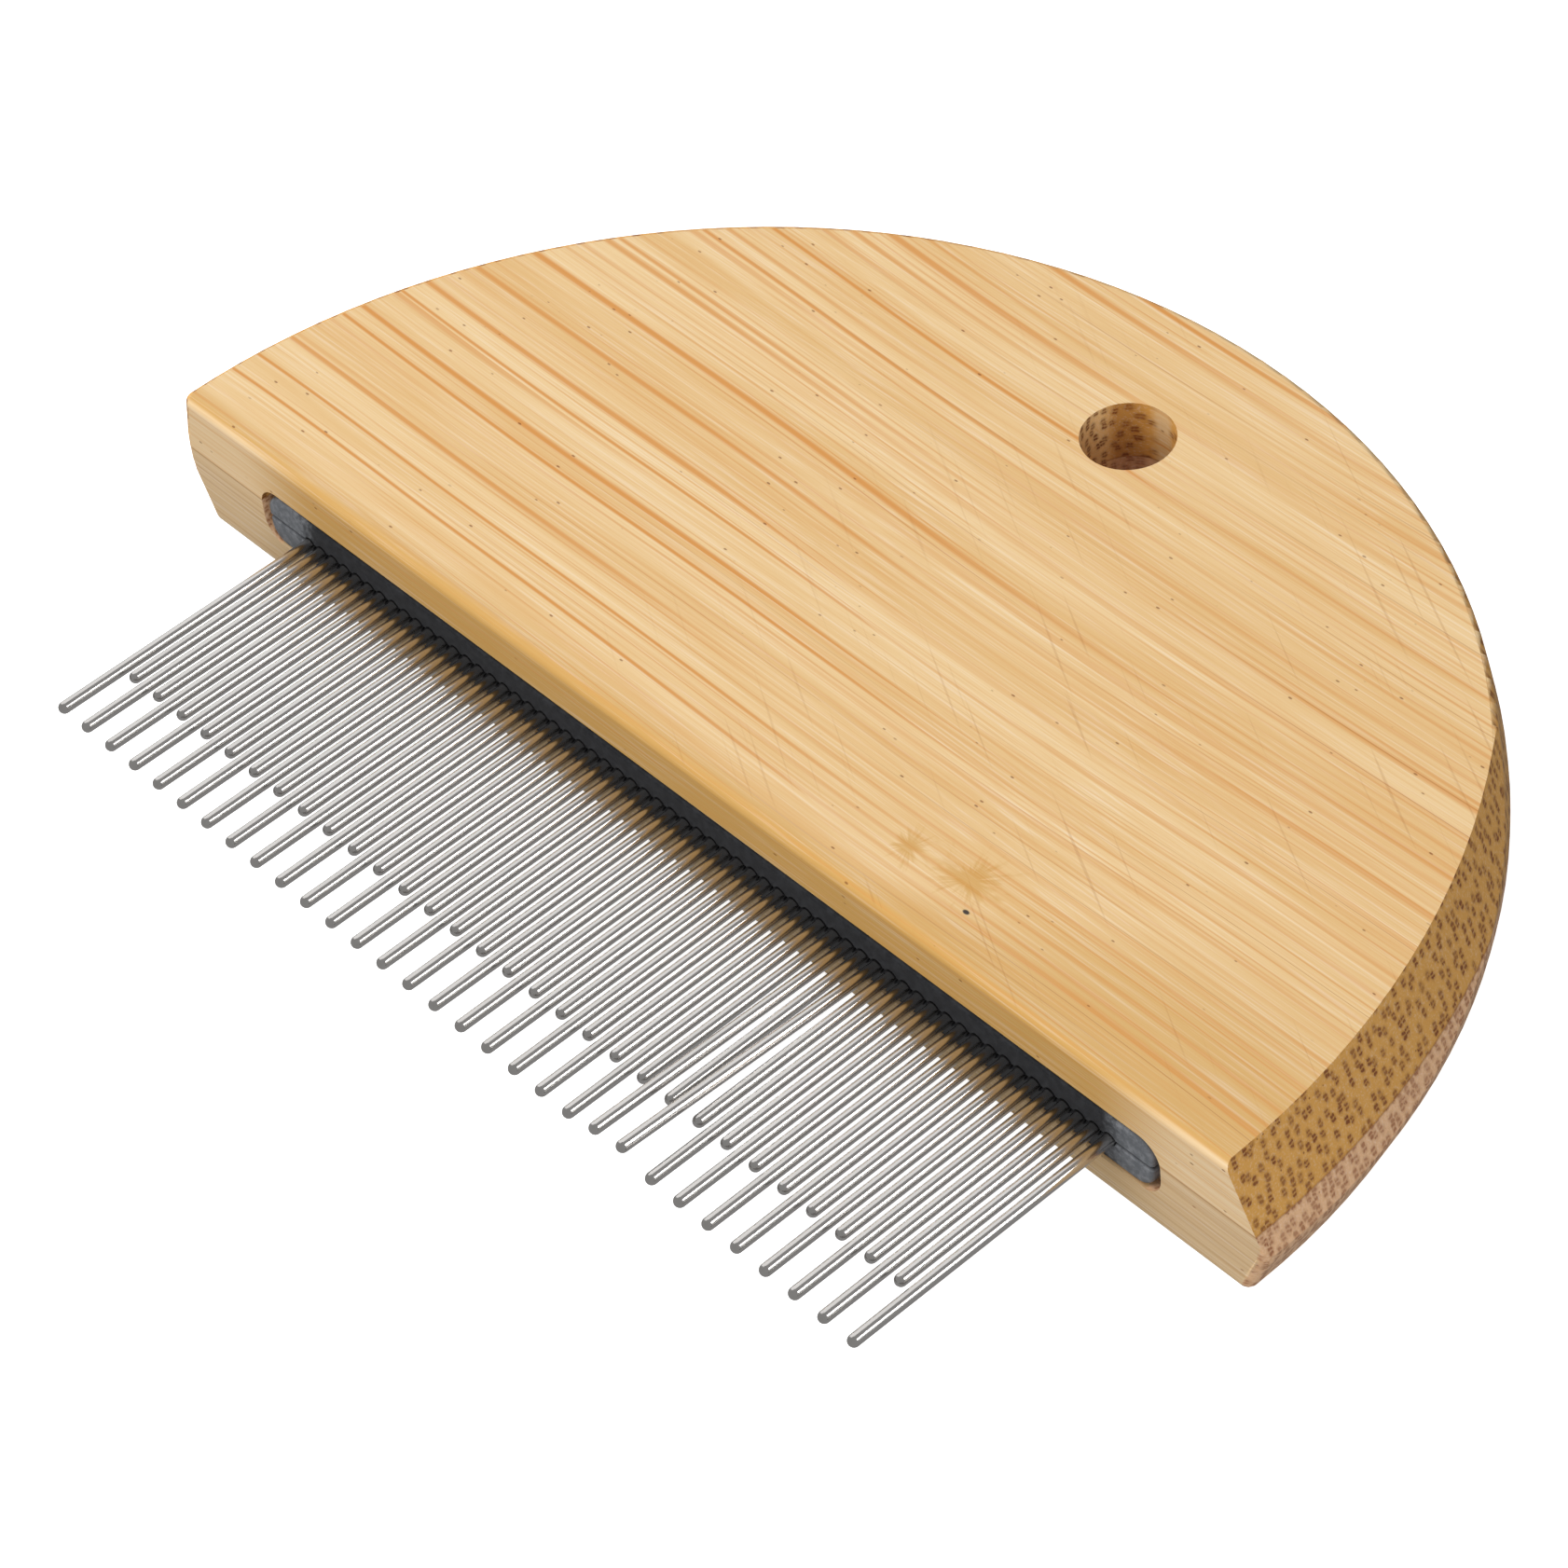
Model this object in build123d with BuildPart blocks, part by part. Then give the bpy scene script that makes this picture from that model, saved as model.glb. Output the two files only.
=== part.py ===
from build123d import *

import os
from math import cos, radians, sin

# Moulting comb for pets: a half-moon bamboo handle with one row of long and short steel pins.
#
# The comb lies flat. X runs along the straight, toothed edge, the pins point to -Y, the arc of the handle bulges
# to +Y, and Z goes up through the thickness. The origin is the centre of the footprint, on the face that the comb
# rests on. All sizes are in millimetres.

# Handle: a disc with a sanded rim, cut off straight a little in front of its centre
handle_thickness = 12.0
handle_radius = 56.5
handle_depth = 58.0
top_edge_radius = 0.5
bottom_edge_radius = 0.8
front_edge_radius = 0.8
top_ply_thickness = 5.3
hole_diameter = 7.2
hole_from_edge = 44.5

# Rings up the handle's rim: height above the resting face, and inset from the full radius
rim_rings = [
    (0.0, 2.0),
    (4.2, 0.2),
    (5.4, 0.0),
    (6.8, 0.0),
    (8.2, 0.12),
    (handle_thickness, 0.85),
]
# The top of the rim is sanded away further towards the +X end, to the shape of a cone that stands off-centre
bevel_shift = (-14.0, -1.2)
bevel_radius_at_rest = 72.9
bevel_radius_at_top = 66.9

# Slot in the straight edge, and the two moulded bar halves that fill it, both a little towards the -X end
slot_length = 94.2
slot_shift = -0.2
slot_bottom = 3.15
slot_height = 5.2
slot_depth = 8.0
slot_corner_radius = 2.0
bar_length = 92.8
bar_shift = -0.4
bar_height = 4.5
bar_depth = 7.5
bar_recess = 0.15
bar_corner_radius = 1.6
bar_edge_radius = 0.3
parting_chamfer = 0.25

# Pins: long, short, long, ... in one row, each free to turn in its own socket
pin_count = 61
pin_pitch = 1.4
pin_diameter = 0.95
long_pin_out = 23.5
short_pin_out = 18.0
pin_in = 6.0
head_diameter = 1.25
head_length = 0.8
running_clearance = 0.05
mouth_widening = 0.15
channel_width = 1.2
channel_height = 2.0
# Degrees by which some pins of the row stand above the others, by their number from the -X end
raised_pins = {43: 1.5, 45: 2.5}

# Places that follow from the dimensions
edge_y = (long_pin_out - handle_depth) / 2
disc_y = edge_y + handle_depth - handle_radius
glue_z = handle_thickness - top_ply_thickness
bar_y = edge_y + bar_recess
slot_z = slot_bottom + slot_height / 2
pin_z = slot_bottom + bar_height / 2
row_length = (pin_count - 1) * pin_pitch


def facing_out(y, z):
    """Plane parallel to the straight edge, facing away from the handle, with its own Y upwards."""
    return Plane(origin=(0, y, z), x_dir=(1, 0, 0), z_dir=(0, -1, 0))


def pin_plane(number):
    """Plane across a pin where it leaves the straight edge, facing the pin's tip."""
    lean = radians(raised_pins.get(number, 0))
    x = (number - 1) * pin_pitch - row_length / 2
    return Plane(origin=(x, edge_y, pin_z), x_dir=(1, 0, 0), z_dir=(0, -cos(lean), sin(lean)))


def make_handle_ply(side):
    """One of the two bamboo plies, above or below the glue line."""
    with BuildPart() as ply:
        for height, inset in rim_rings:
            with BuildSketch(Plane.XY.offset(height)):
                with Locations((0, disc_y)):
                    Circle(handle_radius - inset)
        loft(ruled=True)
        fillet(ply.edges().group_by(Axis.Z)[0], radius=bottom_edge_radius)
        fillet(ply.edges().group_by(Axis.Z)[-1], radius=top_edge_radius)
        split(bisect_by=Plane.XZ.offset(-edge_y), keep=Keep.BOTTOM)
        fillet(ply.faces().sort_by(Axis.Y)[0].edges(), radius=front_edge_radius)
        with Locations((bevel_shift[0], disc_y + bevel_shift[1], 0)):
            Cone(
                bevel_radius_at_rest,
                bevel_radius_at_top,
                handle_thickness,
                align=(Align.CENTER, Align.CENTER, Align.MIN),
                mode=Mode.INTERSECT,
            )
        with BuildSketch(facing_out(edge_y, slot_z)):
            with Locations((slot_shift, 0)):
                RectangleRounded(slot_length, slot_height, slot_corner_radius)
        extrude(amount=-slot_depth, mode=Mode.SUBTRACT)
        with Locations((0, edge_y + hole_from_edge, handle_thickness)):
            Hole(hole_diameter / 2)
        split(bisect_by=Plane.XY.offset(glue_z), keep=side)
    return ply


def make_bar_half(side):
    """One half of the pin bar: half of every socket, and half of the channel that traps the pins' heads."""
    socket_radius = pin_diameter / 2 + running_clearance
    channel_y = edge_y + pin_in - head_length - running_clearance
    with BuildPart() as half:
        with BuildSketch(facing_out(bar_y, pin_z)):
            with Locations((bar_shift, 0)):
                RectangleRounded(bar_length, bar_height, bar_corner_radius)
        extrude(amount=-bar_depth)
        fillet(half.faces().sort_by(Axis.Y)[0].edges(), radius=bar_edge_radius)
        split(bisect_by=Plane.XY.offset(pin_z), keep=side)
        parting_face = half.faces().filter_by(Plane.XY).sort_by(lambda face: abs(face.center().Z - pin_z))[0]
        chamfer(parting_face.edges(), length=parting_chamfer)
        with Locations((0, channel_y + channel_width / 2, pin_z)):
            Box(row_length + channel_height, channel_width, channel_height, mode=Mode.SUBTRACT)
        with Locations(*[pin_plane(number) for number in range(1, pin_count + 1)]):
            Cylinder(
                socket_radius,
                pin_in,
                align=(Align.CENTER, Align.CENTER, Align.MAX),
                mode=Mode.SUBTRACT,
            )
            Cone(
                socket_radius,
                socket_radius + mouth_widening,
                bar_recess + mouth_widening,
                align=(Align.CENTER, Align.CENTER, Align.MAX),
                mode=Mode.SUBTRACT,
            )
    return half


def make_pin(number, length_out):
    """One turned pin, with the head that keeps it in its socket and a rounded tip."""
    across = pin_plane(number)
    along = Plane(origin=across.origin, x_dir=across.x_dir, z_dir=-across.y_dir)
    radius = pin_diameter / 2
    shoulder = head_length - pin_in
    with BuildPart() as pin:
        with BuildSketch(along):
            with BuildLine():
                side = Polyline(
                    (0, -pin_in),
                    (head_diameter / 2, -pin_in),
                    (head_diameter / 2, shoulder),
                    (radius, shoulder),
                    (radius, length_out - radius),
                )
                tip = CenterArc((0, length_out - radius), radius, 0, 90)
                Line(tip @ 1, side @ 0)
            make_face()
        revolve(axis=Axis(across.origin, across.z_dir))
    return pin


def save(piece, name):
    """Label a finished piece and write its STEP file."""
    piece.part.label = name
    export_step(piece.part, f"parts/{name}.step")


os.makedirs("parts", exist_ok=True)

save(make_handle_ply(Keep.TOP), "handle_top_ply")
save(make_handle_ply(Keep.BOTTOM), "handle_bottom_ply")
save(make_bar_half(Keep.TOP), "pin_bar_top_half")
save(make_bar_half(Keep.BOTTOM), "pin_bar_bottom_half")

for number in range(1, pin_count + 1, 2):
    save(make_pin(number, long_pin_out), f"long_pin_{(number + 1) // 2:02d}")

short_pin_solids = [make_pin(number, short_pin_out).part for number in range(2, pin_count, 2)]
with BuildPart() as short_pins:
    add(short_pin_solids)
save(short_pins, "short_pins")
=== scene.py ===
from math import cos, radians, sin

import bpy
from mathutils import Matrix, Vector


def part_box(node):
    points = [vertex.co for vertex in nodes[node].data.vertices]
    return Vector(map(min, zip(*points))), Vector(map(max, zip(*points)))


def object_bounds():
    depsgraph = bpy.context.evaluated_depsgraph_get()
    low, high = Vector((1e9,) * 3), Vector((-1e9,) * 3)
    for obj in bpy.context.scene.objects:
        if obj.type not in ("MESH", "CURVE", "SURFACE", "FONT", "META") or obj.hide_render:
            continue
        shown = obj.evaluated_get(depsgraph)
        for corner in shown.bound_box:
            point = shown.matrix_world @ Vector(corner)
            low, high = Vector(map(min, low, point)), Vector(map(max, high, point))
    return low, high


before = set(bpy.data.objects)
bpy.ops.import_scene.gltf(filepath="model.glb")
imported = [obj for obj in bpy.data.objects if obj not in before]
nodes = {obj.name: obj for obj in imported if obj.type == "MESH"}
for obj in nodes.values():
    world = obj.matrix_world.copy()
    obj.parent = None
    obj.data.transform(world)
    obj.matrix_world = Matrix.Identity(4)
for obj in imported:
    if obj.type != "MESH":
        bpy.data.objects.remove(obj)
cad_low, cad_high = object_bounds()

# The looks of the moulting comb: bamboo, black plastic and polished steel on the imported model, a pale floor,
# studio lights and the camera. Places are in metres in the model's own frame.

MM = 0.001

centre = (cad_low + cad_high) / 2

bar_halves = ["pin_bar_top_half", "pin_bar_bottom_half"]
pins = [name for name in nodes if name.startswith(("long_pin", "short_pin"))]

# Places on the comb, in millimetres
ply_low, ply_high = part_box("handle_top_ply")
board_top = ply_high.z / MM
glue_height = ply_low.z / MM
straight_edge = ply_low.y / MM
parting_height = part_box("pin_bar_top_half")[0].z / MM
hole_y = straight_edge + 44.5
hole_radius = 3.6

# On the top face: place and reach of each stain where the cane had a node, and a black speck beside them
stains = [
    (17.9, -11.85, 2.2),
    (23.2, -11.15, 3.4),
]
speck_place = (25.1, -13.4, board_top)

# Streaks along the grain: length, spacing and width in millimetres
broad_streaks = (140.0, 1.25, 0.66)
narrow_streaks = (55.0, 0.7, 0.22)
hairlines = (60.0, 2.1, 0.12)

# Scratches across the grain: angle in degrees from X, spacing in millimetres, and share of the lines that show
sanding_scratches = (-29.0, 0.42, 0.34)

# Cut fibre bundles of each ply: spacing in millimetres. A bundle has four lobes, this far from its middle.
top_bundle_spacing = 0.92
bottom_bundle_spacing = 0.7
lobe_offset = (0.08, 0.15, 0)

# How far the fibres wander sideways in millimetres, and how much faster the pattern runs down than across
fibre_drift = 2.4
depth_slant = 1.7


class Graph:
    """A material's node tree, with a short call for each kind of node that the materials use."""

    def __init__(self, name):
        self.material = bpy.data.materials.new(name)
        self.material.use_nodes = True
        self.tree = self.material.node_tree
        self.shader = self.tree.nodes["Principled BSDF"]
        coordinates = self.add("TexCoord", {}).outputs
        self.place = self.vector("MULTIPLY", coordinates["Object"], (1 / MM,) * 3)
        self.facing = self.split(coordinates["Normal"])

    def add(self, kind, inputs, **settings):
        made = self.tree.nodes.new("ShaderNode" + kind)
        for name, value in settings.items():
            setattr(made, name, value)
        for socket, value in inputs.items():
            self.feed(made.inputs[socket], value)
        return made

    def feed(self, socket, value):
        if isinstance(value, bpy.types.NodeSocket):
            self.tree.links.new(value, socket)
        else:
            socket.default_value = value

    def math(self, operation, a, b=0.0):
        return self.add("Math", {0: a, 1: b}, operation=operation).outputs[0]

    def times(self, *values):
        product = values[0]
        for value in values[1:]:
            product = self.math("MULTIPLY", product, value)
        return product

    def plus(self, *values):
        total = values[0]
        for value in values[1:]:
            total = self.math("ADD", total, value)
        return total

    def vector(self, operation, a, b=(0, 0, 0)):
        made = self.add("VectorMath", {0: a, 1: b}, operation=operation)
        return made.outputs["Value"] if operation in ("LENGTH", "DISTANCE") else made.outputs["Vector"]

    def split(self, vector):
        return self.add("SeparateXYZ", {0: vector}).outputs

    def join(self, x, y, z):
        return self.add("CombineXYZ", {0: x, 1: y, 2: z}).outputs[0]

    def step(self, value, start, end):
        """0 where value is start, 1 where it is end, and smooth in between."""
        made = self.add("MapRange", {0: value, 1: start, 2: end}, interpolation_type="SMOOTHSTEP")
        return made.outputs[0]

    def inverse(self, mask):
        return self.math("SUBTRACT", 1.0, mask)

    def line(self, value, middle, width):
        """1 where value is middle, falling to 0 at half the width on either side."""
        away = self.math("ABSOLUTE", self.math("SUBTRACT", value, middle))
        return self.step(away, width / 2, 0.0)

    def between(self, value, low, high):
        """Maps 0..1 to low..high."""
        return self.add("MapRange", {0: value, 3: low, 4: high}).outputs[0]

    def scaled(self, vector, factor):
        return self.vector("MULTIPLY", vector, (factor,) * 3)

    def stretched(self, x, y, z):
        """The point on the comb, with each of its coordinates multiplied."""
        return self.vector("MULTIPLY", self.place, (x, y, z))

    def noise(self, vector, detail=2.0, roughness=0.5):
        inputs = {"Vector": vector, "Scale": 1.0, "Detail": detail, "Roughness": roughness}
        return self.add("TexNoise", inputs).outputs

    def cells(self, vector, dimensions, randomness=1.0):
        inputs = {"Vector": vector, "Scale": 1.0, "Randomness": randomness}
        return self.add("TexVoronoi", inputs, voronoi_dimensions=dimensions).outputs

    def blend(self, amount, a, b):
        """Colour a where amount is 0, colour b where it is 1."""
        return self.add("Mix", {0: amount, 6: a, 7: b}, data_type="RGBA").outputs[2]

    def bump(self, height, depth):
        """Surface relief of the given depth in millimetres where height goes from 0 to 1."""
        made = self.add("Bump", {"Height": height, "Distance": depth * MM})
        self.feed(self.shader.inputs["Normal"], made.outputs[0])


def colour(red, green, blue):
    """A colour given as it shows on screen, 0 to 255, turned into a shader's linear values."""
    linear = [((c / 255 + 0.055) / 1.055) ** 2.4 for c in (red, green, blue)]
    return (*linear, 1.0)


white = (1, 1, 1, 1)


def fibre_bundles(g, across, spacing):
    """Cut ends of the fibre bundles that run along X: groups of four dark lobes, taller than they are wide.

    Returns the lobes, the stained ground around them and a random number for each bundle.
    """
    wobble = g.noise(g.scaled(across, 2.6), 1.0)["Color"]
    bent = g.vector("ADD", across, g.scaled(g.vector("SUBTRACT", wobble, (0.5, 0.5, 0.5)), 0.3))
    cell = g.cells(g.scaled(bent, 1 / spacing), "2D", 0.85)
    middle = g.scaled(cell["Position"], spacing)
    offset = g.vector("ABSOLUTE", g.vector("SUBTRACT", bent, middle))
    own = g.split(cell["Color"])
    radius = g.between(own[0], 0.08, 0.13)
    to_lobe = g.math("SUBTRACT", g.vector("DISTANCE", offset, lobe_offset), radius)
    halo = g.step(g.vector("LENGTH", g.vector("MULTIPLY", offset, (1.4, 1.0, 0))), 0.58, 0.2)
    return g.step(to_lobe, 0.05, -0.06), halo, own[1]


def streaks(g, x, across, length, spacing, width):
    """Long thin lines along X, where the surface cuts along a fibre bundle. Some are faint."""
    point = g.join(g.times(x, 1 / length), g.times(across, 1 / spacing), 0.0)
    cell = g.cells(point, "2D", 0.8)
    offset = g.split(g.vector("ABSOLUTE", g.vector("SUBTRACT", point, cell["Position"])))
    own = g.split(cell["Color"])
    thickness = g.times(g.between(own[1], 0.4, 1.0), width / spacing)
    line = g.step(g.math("DIVIDE", offset[1], thickness), 0.7, 0.15)
    return g.times(line, g.step(offset[0], 0.5, 0.15), g.between(own[0], 0.15, 1.0))


def scratches(g, x, y, direction, spacing, share):
    """Hair-thin straight lines across the top face, at an angle in degrees from X."""
    turn = radians(direction)
    along = g.plus(g.times(x, cos(turn)), g.times(y, sin(turn)))
    across = g.plus(g.times(x, -sin(turn)), g.times(y, cos(turn)))
    trace = g.noise(g.join(g.times(along, 0.05), g.times(across, 1 / spacing), direction), 1.0)[0]
    return g.step(trace, 1.0 - share, 1.08 - share)


def bamboo_faces(g, x, y):
    """Where the bamboo shows fibre ends, fibre sides, the bore, the straight edge and the top face."""
    end = g.step(g.math("ABSOLUTE", g.facing[0]), 0.1, 0.36)
    to_hole = g.vector("LENGTH", g.join(x, g.math("SUBTRACT", y, hole_y), 0.0))
    bore = g.step(to_hole, hole_radius + 0.2, hole_radius + 0.1)
    return {
        "end": end,
        "side": g.inverse(end),
        "bore": bore,
        "front": g.times(g.step(g.facing[1], -0.3, -0.75), g.inverse(bore)),
        "top": g.step(g.facing[2], 0.6, 0.95),
    }


def bamboo_ground(g, x, y, z, depth, faces, tones):
    """Colour without the fine grain: pale and warm bands, the handled edge, the fibre ends, and painted light
    and shade on the bore's wall.
    """
    bands = g.noise(g.join(g.times(x, 0.01), g.times(depth, 0.22), 0.0), 3.0, 0.6)[0]
    ground = g.blend(g.step(bands, 0.36, 0.64), tones["pale"], tones["warm"])

    # Handling has stained the straight edge and the top face next to it, furthest at the +X end
    stained_reach = g.between(g.step(x, 15.0, 50.0), 2.4, 20.0)
    from_edge = g.math("DIVIDE", g.math("SUBTRACT", y, straight_edge), stained_reach)
    handled = g.times(g.step(from_edge, 1.0, 0.1), faces["side"], 0.75)
    ground = g.blend(handled, ground, tones["edge"])
    towards_ends = g.step(g.math("ABSOLUTE", x), 40.0, 50.0)
    edge_tone = g.blend(towards_ends, tones["edge"], tones["edge_ends"])
    ground = g.blend(faces["front"], ground, edge_tone)
    near_top = g.step(z, board_top - 1.0, board_top - 0.7)
    rounding = g.times(g.line(g.facing[1], -0.45, 0.8), near_top, faces["side"])
    ground = g.blend(g.times(rounding, 0.85), ground, tones["edge"])

    # Fibre ends, and the bore: painted light makes its wall paler where it faces +X, and painted shade makes
    # it browner where it also faces the straight edge
    ground = g.blend(faces["end"], ground, tones["end"])
    faces_right = g.times(faces["bore"], g.step(g.facing[0], 0.2, 0.7))
    painted_lit_wall = g.times(faces_right, g.step(g.facing[1], -0.55, -0.15))
    ground = g.blend(painted_lit_wall, ground, tones["bore"])
    painted_shaded_wall = g.times(faces_right, g.step(g.facing[1], -0.25, -0.6), 0.4)
    return g.blend(painted_shaded_wall, ground, tones["dot"])


def bamboo_grain(g, ground, x, depth, fine, faces, tones):
    """Fine grain, long streaks and dark hairlines over the ground."""
    ground = g.blend(g.times(g.step(fine, 0.5, 0.75), 0.3), ground, tones["streak"])
    ground = g.blend(g.times(g.step(fine, 0.5, 0.3), 0.14), ground, white)
    plain_grain = g.times(faces["side"], g.inverse(g.times(faces["front"], 0.6)))
    broad = g.times(streaks(g, x, depth, *broad_streaks), plain_grain)
    ground = g.blend(broad, ground, tones["streak"])
    narrow = g.times(streaks(g, x, depth, *narrow_streaks), plain_grain)
    ground = g.blend(g.times(narrow, 0.6), ground, tones["streak"])
    hairline = g.times(streaks(g, x, depth, *hairlines), faces["side"], g.step(x, -60.0, 30.0))
    return g.blend(g.times(hairline, 0.6), ground, tones["hairline"])


def node_stains(g, ground, tones):
    """Star-shaped stains where a node of the cane was, and the black speck beside them."""
    for stain_x, stain_y, reach in stains:
        offset = g.vector("SUBTRACT", g.place, (stain_x, stain_y, board_top))
        away = g.vector("LENGTH", offset)
        across = g.split(offset)
        angle = g.math("ARCTAN2", across[1], across[0])
        rays = g.noise(g.join(g.times(angle, 2.6), stain_x, g.times(away, 0.3)), 3.0, 0.7)[0]
        far = g.math("DIVIDE", away, g.times(rays, rays, 3.2 * reach))
        ground = g.blend(g.times(g.step(far, 1.0, 0.2), 0.55), ground, tones["stain"])
    from_speck = g.vector("SUBTRACT", g.place, speck_place)
    to_speck = g.vector("LENGTH", g.vector("MULTIPLY", from_speck, (1.0, 1.6, 1.0)))
    return g.blend(g.step(to_speck, 0.36, 0.2), ground, tones["speck"])


def bamboo(name, tones, bundle_spacing):
    """Bamboo with its fibres along X. tones holds its colours."""
    g = Graph(name)
    x, y, z = g.split(g.place)
    faces = bamboo_faces(g, x, y)

    # The fibres wander a little. Lines on the top face and on the straight edge come from the same pattern.
    drift = g.split(g.noise(g.stretched(0.012, 0.03, 0.05), 1.0)["Color"])
    drift_y = g.plus(y, g.times(drift[0], fibre_drift))
    drift_z = g.plus(z, g.times(drift[1], fibre_drift))
    depth = g.plus(drift_y, g.times(drift_z, depth_slant))
    fine_place = g.join(g.times(x, 0.07), g.times(drift_y, 6.0), g.times(drift_z, 6.0))
    fine = g.noise(fine_place, 3.0, 0.6)[0]

    ground = bamboo_ground(g, x, y, z, depth, faces, tones)
    ground = bamboo_grain(g, ground, x, depth, fine, faces, tones)

    # Cut ends of the bundles
    lobes, halo, own = fibre_bundles(g, g.join(drift_y, drift_z, 0.0), bundle_spacing)
    ground = g.blend(g.times(halo, faces["end"], 0.38), ground, tones["dot"])
    lobes = g.times(lobes, faces["end"], g.between(own, 0.55, 1.0))
    ground = g.blend(lobes, ground, tones["dot"])

    # Glue line, dark specks in the pores, and sanding scratches across the grain of the top face
    glue = g.line(z, glue_height, 0.3)
    ground = g.blend(g.times(glue, 0.55), ground, tones["hairline"])
    pores = g.cells(g.stretched(0.7, 1.6, 1.6), "3D")
    chosen = g.step(g.split(pores["Color"])[0], 0.84, 0.88)
    speck = g.times(g.step(pores["Distance"], 0.16, 0.08), chosen)
    ground = g.blend(g.times(speck, 0.7), ground, tones["dot"])
    scratch = g.times(scratches(g, x, y, *sanding_scratches), faces["top"], g.step(x, -30.0, 20.0))
    ground = g.blend(g.times(scratch, 0.26), ground, tones["hairline"])
    ground = node_stains(g, ground, tones)

    g.feed(g.shader.inputs["Base Color"], ground)
    g.feed(g.shader.inputs["Roughness"], g.between(fine, 0.5, 0.68))
    g.shader.inputs["Specular IOR Level"].default_value = 0.3
    relief = g.plus(g.times(fine, 0.5), g.times(lobes, -0.6), g.times(speck, -1.0), g.times(glue, -0.6))
    g.bump(relief, 0.02)
    return g.material


def steel():
    """Polished steel with faint drawing marks along the pins."""
    g = Graph("polished_steel")
    drawn = g.noise(g.stretched(2.0, 0.08, 2.0), 2.0)[0]
    g.feed(g.shader.inputs["Base Color"], g.blend(drawn, colour(214, 211, 208), colour(200, 197, 194)))
    g.feed(g.shader.inputs["Roughness"], g.between(drawn, 0.14, 0.22))
    g.shader.inputs["Metallic"].default_value = 1.0
    return g.material


def black_plastic():
    """Black, painted darker in the middle as painted shade where the pins shade it, and painted lighter grey
    towards the ends as painted light where nothing shades it.
    """
    g = Graph("black_plastic")
    x, y, z = g.split(g.place)
    scuffs = g.noise(g.stretched(1.4, 1.4, 1.4), 4.0, 0.7)[0]
    # Painted light and shade: grey towards the ends, where the pins cast no shade, and black in the middle
    unshaded_ends = g.step(g.plus(g.math("ABSOLUTE", x), g.times(scuffs, 3.0)), 42.5, 45.0)
    black = g.blend(g.step(scuffs, 0.4, 0.65), colour(30, 31, 34), colour(44, 45, 48))
    lit_grey = g.blend(g.step(scuffs, 0.4, 0.65), colour(90, 93, 97), colour(118, 120, 124))
    plain = g.blend(unshaded_ends, black, lit_grey)
    # Painted shade: a darker line along the groove where the two halves meet
    groove_shade = g.line(z, parting_height, 0.5)
    g.feed(g.shader.inputs["Base Color"], g.blend(groove_shade, plain, colour(22, 22, 24)))
    g.feed(g.shader.inputs["Roughness"], g.between(scuffs, 0.42, 0.62))
    g.bump(scuffs, 0.03)
    return g.material


def paint(names, material):
    """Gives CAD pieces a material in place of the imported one."""
    for name in names:
        for slot in nodes[name].material_slots:
            slot.material = material


top_tones = {
    "pale": colour(223, 192, 143),
    "warm": colour(214, 176, 120),
    "streak": colour(203, 140, 70),
    "hairline": colour(166, 104, 48),
    "edge": colour(198, 155, 88),
    "edge_ends": colour(226, 196, 152),
    "end": colour(212, 158, 80),
    "dot": colour(120, 64, 24),
    # bore: painted light on the bore's wall that faces +X
    "bore": colour(238, 200, 140),
    "stain": colour(190, 138, 52),
    "speck": colour(62, 54, 48),
}
bottom_tones = {
    "pale": colour(208, 176, 134),
    "warm": colour(200, 164, 118),
    "streak": colour(176, 132, 86),
    "hairline": colour(132, 92, 56),
    "edge": colour(200, 170, 126),
    "edge_ends": colour(210, 180, 138),
    "end": colour(226, 182, 140),
    "dot": colour(158, 106, 72),
    # bore: painted light on the bore's wall that faces +X
    "bore": colour(238, 200, 140),
    "stain": colour(190, 138, 52),
    "speck": colour(62, 54, 48),
}

paint(["handle_top_ply"], bamboo("bamboo_top", top_tones, top_bundle_spacing))
paint(["handle_bottom_ply"], bamboo("bamboo_bottom", bottom_tones, bottom_bundle_spacing))
paint(bar_halves, black_plastic())
paint(pins, steel())


def make_floor():
    """A bright, even table top just under the comb. It neither lights the comb nor mirrors in it."""
    bpy.ops.mesh.primitive_plane_add(size=3.0, location=(0, 0, cad_low.z - 0.02 * MM))
    floor = bpy.context.object
    floor.name = "floor"
    g = Graph("floor")
    g.shader.inputs["Base Color"].default_value = (0.8, 0.8, 0.8, 1)
    g.shader.inputs["Roughness"].default_value = 0.9
    g.shader.inputs["Emission Color"].default_value = white
    g.shader.inputs["Emission Strength"].default_value = 0.8
    floor.data.materials.append(g.material)
    floor.visible_glossy = False
    floor.visible_diffuse = False


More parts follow.
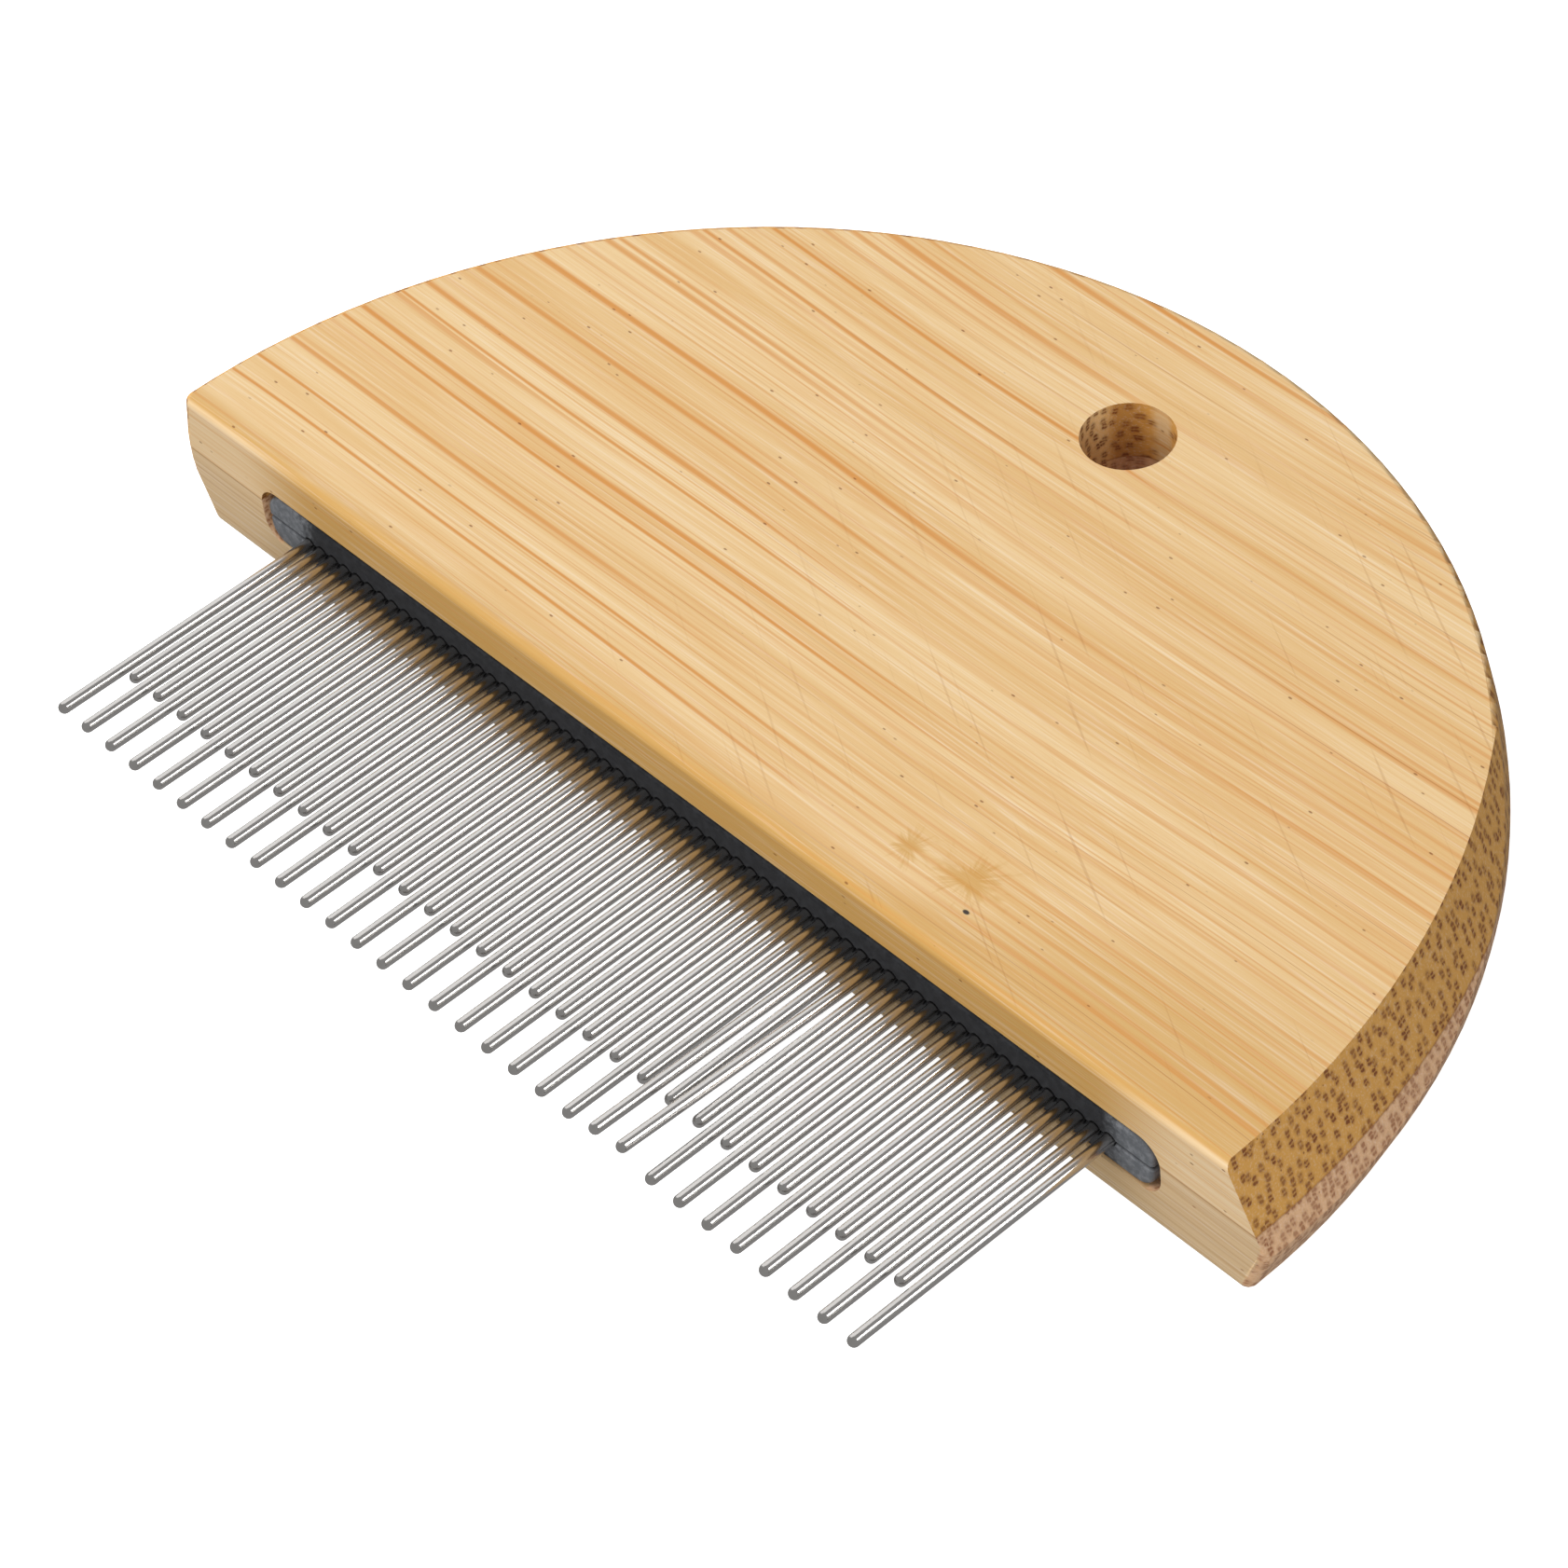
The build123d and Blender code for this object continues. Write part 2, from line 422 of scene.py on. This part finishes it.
def make_light(name, azimuth, elevation, distance, size, power, lights_surfaces=True):
    """A soft box that looks at the comb. Azimuth 0 is in front of the pins, 90 on the +X side.

    It either lights surfaces or shows as a reflection in them, not both.
    """
    a, e = radians(azimuth), radians(elevation)
    away = Vector((sin(a) * cos(e), -cos(a) * cos(e), sin(e)))
    data = bpy.data.lights.new(name, "AREA")
    data.shape = "RECTANGLE"
    data.size, data.size_y = size
    data.energy = power
    light = bpy.data.objects.new(name, data)
    bpy.context.scene.collection.objects.link(light)
    light.location = centre + away * distance
    light.rotation_mode = "QUATERNION"
    light.rotation_quaternion = away.to_track_quat("Z", "Y")
    light.visible_diffuse = lights_surfaces
    light.visible_glossy = not lights_surfaces


def make_camera():
    """The photograph's view: from the right front, fairly high, with a slight tilt of the frame."""
    azimuth, elevation, roll = radians(52.23), radians(45.96), radians(6.81)
    distance = 385.8 * MM
    aim = centre + Vector((2.6, -10.0, -0.2)) * MM
    back = Vector((sin(azimuth) * cos(elevation), -cos(azimuth) * cos(elevation), sin(elevation)))
    data = bpy.data.cameras.new("camera")
    data.sensor_width = 36.0
    data.lens = 125.7
    data.clip_start, data.clip_end = 0.01, 10.0
    camera = bpy.data.objects.new("camera", data)
    bpy.context.scene.collection.objects.link(camera)
    level = back.to_track_quat("Z", "Y").to_matrix()
    tilted = level @ Matrix.Rotation(-roll, 3, "Z")
    camera.matrix_world = Matrix.Translation(aim + back * distance) @ tilted.to_4x4()
    bpy.context.scene.camera = camera


def make_world():
    """An even white surround."""
    world = bpy.data.worlds.new("studio")
    world.use_nodes = True
    background = world.node_tree.nodes["Background"]
    background.inputs["Color"].default_value = white
    background.inputs["Strength"].default_value = 0.32
    bpy.context.scene.world = world


make_floor()
make_light("overhead", 320, 65, 1.2, (1.4, 1.4), 12.8)
make_light("front_fill", 45, 20, 1.2, (1.2, 0.8), 7.1)
make_light("left_fill", 290, 25, 1.2, (1.2, 0.8), 5.2)
make_light("left_panel", 240, 33, 1.0, (1.3, 1.3), 4.2, lights_surfaces=False)
make_light("right_back_strip", 122, 30, 1.0, (0.22, 0.5), 3.0, lights_surfaces=False)
make_camera()
make_world()
bpy.context.scene.view_settings.view_transform = "Standard"
